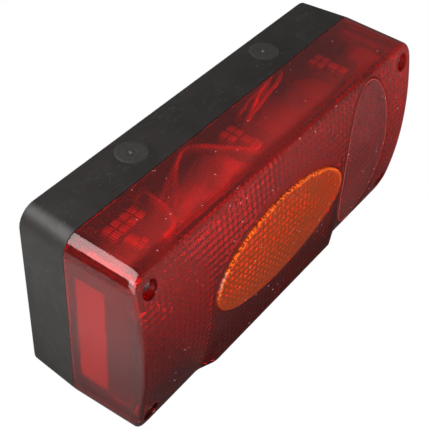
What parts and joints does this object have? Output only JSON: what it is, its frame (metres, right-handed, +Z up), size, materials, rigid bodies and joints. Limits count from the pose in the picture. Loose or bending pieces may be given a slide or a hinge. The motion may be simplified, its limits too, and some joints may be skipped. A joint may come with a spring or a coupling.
{
  "type": "trailer tail light",
  "caption": "Long box-shaped rear lamp for a trailer: black housing, red screwed-on lens with a bowed face, an amber oval window and an upright oval reflector.",
  "frame": {"origin": "centre of the housing's flat back, which lies on the trailer", "axes": "+X along the lamp, +Y out of the flat back towards the trailer, -Y out of the lens, +Z up as fitted"},
  "size_m": [0.24, 0.073, 0.1086],
  "materials": {
    "black_plastic": "fine-grained satin moulding, slightly warm black",
    "rubber": "matt black rubber",
    "zinc": "bright zinc plate",
    "red_lens": "clear red acrylic, polished outside, fluted or faceted inside",
    "red_reflex": "red acrylic reflex optic, polished outside",
    "amber_lens": "clear amber acrylic, faceted inside",
    "clear_lens": "clear acrylic, ribbed inside",
    "white_plastic": "off-white nylon moulding",
    "brass": "bright rolled brass",
    "nickel": "nickel plate",
    "bulb_glass": "clear bulb glass",
    "amber_glass": "amber-coated bulb glass",
    "tungsten": "drawn tungsten wire on a glass stem",
    "yellow_wire": "yellow wire insulation",
    "white_wire": "white wire insulation"
  },
  "bodies": {
    "base": {"base_housing": "black_plastic", "rim_gasket": "rubber", "cable_grommet": "rubber", "mount_sleeve_1": "zinc", "mount_sleeve_2": "zinc", "contact_plate_1": "zinc", "contact_plate_2": "zinc", "contact_plate_3": "zinc", "bulb_socket_1": "zinc", "bulb_socket_2": "zinc", "bulb_socket_3": "zinc", "terminal_block": "white_plastic", "chamber_wall_1": "white_plastic", "chamber_wall_2": "white_plastic", "bulb_carrier_1": "black_plastic", "bulb_carrier_2": "black_plastic", "bulb_carrier_3": "black_plastic", "earth_strip": "brass", "centre_contact_1": "brass", "centre_contact_2": "brass", "centre_contact_3": "brass", "terminal_screw_1": "nickel", "terminal_screw_2": "nickel", "terminal_screw_3": "nickel", "terminal_screw_4": "nickel", "feed_wire_left": "yellow_wire", "link_wire": "yellow_wire", "feed_wire_centre": "white_wire", "feed_wire_right": "white_wire", "earth_wire": "white_wire"},
    "lens_cover": {"lens_red": "red_lens", "amber_window": "amber_lens", "reflex_reflector": "red_reflex", "reflex_backing": "black_plastic", "plate_window": "clear_lens", "side_panel_left": "red_lens", "side_panel_right": "red_lens"},
    "bulb_1": {"bulb_cap_1": "nickel", "bulb_glass_1": "bulb_glass", "bulb_filament_1": "tungsten"},
    "bulb_2": {"bulb_cap_2": "nickel", "bulb_glass_2": "amber_glass", "bulb_filament_2": "tungsten"},
    "bulb_3": {"bulb_cap_3": "nickel", "bulb_glass_3": "bulb_glass", "bulb_filament_3": "tungsten"},
    "screw_1": {"lens_screw_1": "zinc", "screw_washer_1": "rubber"},
    "screw_2": {"lens_screw_2": "zinc", "screw_washer_2": "rubber"},
    "screw_3": {"lens_screw_3": "zinc", "screw_washer_3": "rubber"},
    "screw_4": {"lens_screw_4": "zinc", "screw_washer_4": "rubber"}
  },
  "joints": [
    {"name": "lens_off", "type": "slide", "parent": "base", "child": "lens_cover", "axis": [0, -1, 0], "range_m": [0, 0.06]},
    {"name": "screw_out_1", "type": "slide", "parent": "lens_cover", "child": "screw_1", "axis": [0, -1, 0], "range_m": [0, 0.016]},
    {"name": "screw_out_2", "type": "slide", "parent": "lens_cover", "child": "screw_2", "axis": [0, -1, 0], "range_m": [0, 0.016]},
    {"name": "screw_out_3", "type": "slide", "parent": "lens_cover", "child": "screw_3", "axis": [0, -1, 0], "range_m": [0, 0.016]},
    {"name": "screw_out_4", "type": "slide", "parent": "lens_cover", "child": "screw_4", "axis": [0, -1, 0], "range_m": [0, 0.016]},
    {"name": "bulb_twist_1", "type": "hinge", "parent": "base", "child": "bulb_1", "pos_m": [-0.0865, -0.025, 0], "axis": [0, -1, 0], "range_deg": [0, 18]},
    {"name": "bulb_twist_2", "type": "hinge", "parent": "base", "child": "bulb_2", "pos_m": [-0.0065, -0.025, 0], "axis": [0, -1, 0], "range_deg": [0, 18]},
    {"name": "bulb_twist_3", "type": "hinge", "parent": "base", "child": "bulb_3", "pos_m": [0.0745, -0.025, 0], "axis": [0, -1, 0], "range_deg": [0, 18]}
  ]
}
